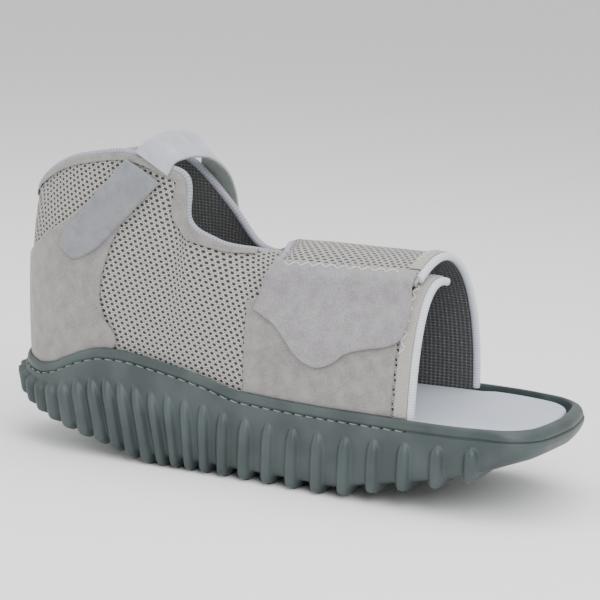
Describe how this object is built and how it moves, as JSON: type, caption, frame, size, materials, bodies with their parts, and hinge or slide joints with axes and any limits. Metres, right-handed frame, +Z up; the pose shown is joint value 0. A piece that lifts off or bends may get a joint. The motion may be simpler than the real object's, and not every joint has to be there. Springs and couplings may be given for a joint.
{
  "type": "post-operative shoe",
  "caption": "Open-toe post-operative shoe on a thick ribbed rocker sole, with a mesh upper that wraps over the instep and an ankle strap that fastens at the side.",
  "frame": {"origin": "centre of the bounding box at the floor, under the flat middle of the rocker sole", "axes": "+X from heel to toe, +Z up, -Y the side on which the flap and the ankle strap fasten"},
  "size_m": [0.2885, 0.1072, 0.1598],
  "materials": {
    "sole_rubber": "satin, moulded, with a fine matt grain",
    "footbed_foam": "matt light fabric over foam",
    "spacer_mesh": "open knit with oval holes",
    "loop_fabric": "brushed loop cloth",
    "edge_binding": "matt folded tape",
    "hook_tab": "matt brushed cloth",
    "strap_webbing": "soft flat webbing"
  },
  "bodies": {
    "root": {"outsole": "sole_rubber", "insole": "footbed_foam", "upper": "spacer_mesh", "heel_counter": "loop_fabric", "loop_panel": "loop_fabric", "collar_binding": "edge_binding", "near_facing": "edge_binding", "flap_facing": "edge_binding", "front_tab": "hook_tab", "strap_tab": "hook_tab", "ankle_strap": "strap_webbing"}
  },
  "joints": []
}
